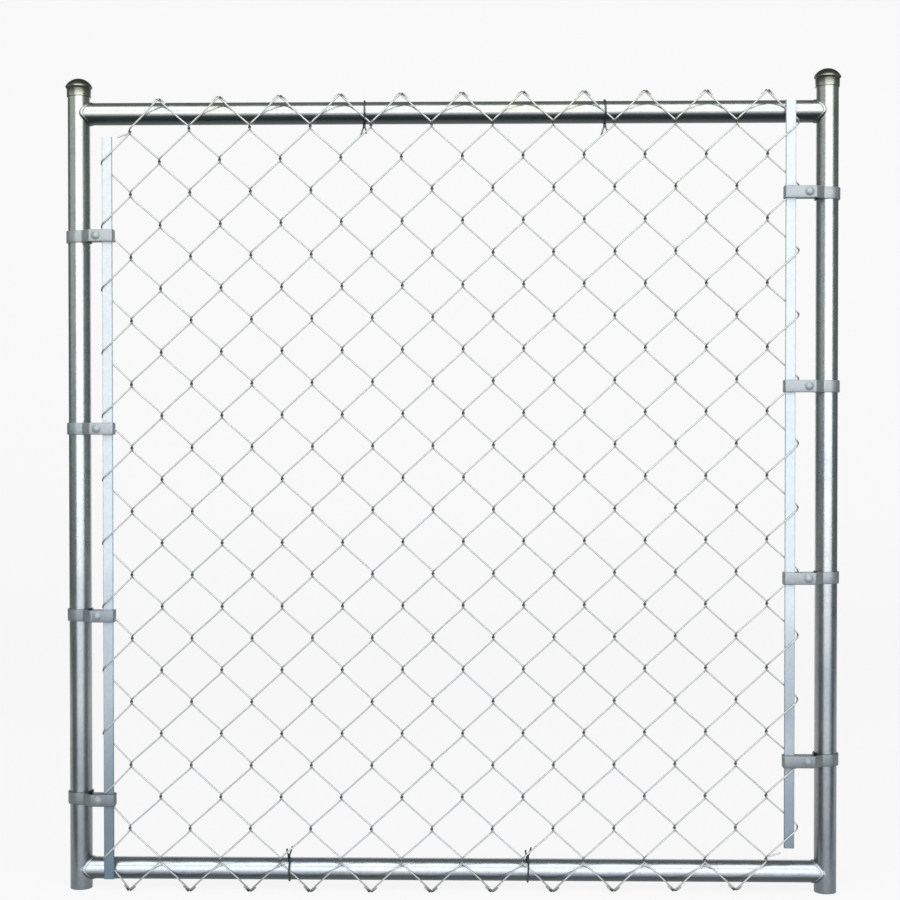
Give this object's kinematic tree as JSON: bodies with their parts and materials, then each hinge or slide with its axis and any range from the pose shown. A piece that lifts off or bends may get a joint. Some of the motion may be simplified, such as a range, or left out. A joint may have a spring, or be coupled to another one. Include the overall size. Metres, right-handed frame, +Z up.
{
  "type": "chain link gate",
  "caption": "Welded pipe walk gate leaf with woven chain link fabric held by tension bars, bands and tie wires.",
  "frame": {"origin": "centre of the open foot of the left stile, on its flat end face, when the gate is seen from its fabric side", "axes": "+Z up along the stiles, +X along the width from the left stile to the right one, the fabric side faces -Y"},
  "size_m": [1.2267, 0.0579, 1.3003],
  "materials": {
    "pipe": "hot-dip galvanised, satin",
    "cap": "galvanised pressing",
    "bar": "galvanised flat bar",
    "wire": "galvanised wire",
    "weld": "weld bead painted over with zinc",
    "band": "galvanised strap",
    "bolt": "zinc plated",
    "tie": "soft tie wire"
  },
  "bodies": {
    "root": {"left_stile": "pipe", "right_stile": "pipe", "top_rail": "pipe", "bottom_rail": "pipe", "left_dome_cap": "cap", "right_dome_cap": "cap", "left_tension_bar": "bar", "right_tension_bar": "bar", "chain_link_fabric": "wire", "top_left_weld": "weld", "top_right_weld": "weld", "bottom_left_weld": "weld", "bottom_right_weld": "weld", "left_band_1": "band", "left_band_2": "band", "left_band_3": "band", "left_band_4": "band", "right_band_1": "band", "right_band_2": "band", "right_band_3": "band", "right_band_4": "band", "left_bolt_1": "bolt", "left_bolt_2": "bolt", "left_bolt_3": "bolt", "left_bolt_4": "bolt", "right_bolt_1": "bolt", "right_bolt_2": "bolt", "right_bolt_3": "bolt", "right_bolt_4": "bolt", "left_nut_1": "bolt", "left_nut_2": "bolt", "left_nut_3": "bolt", "left_nut_4": "bolt", "right_nut_1": "bolt", "right_nut_2": "bolt", "right_nut_3": "bolt", "right_nut_4": "bolt", "top_left_tie": "tie", "top_right_tie": "tie", "bottom_left_tie": "tie", "bottom_right_tie": "tie"}
  },
  "joints": []
}
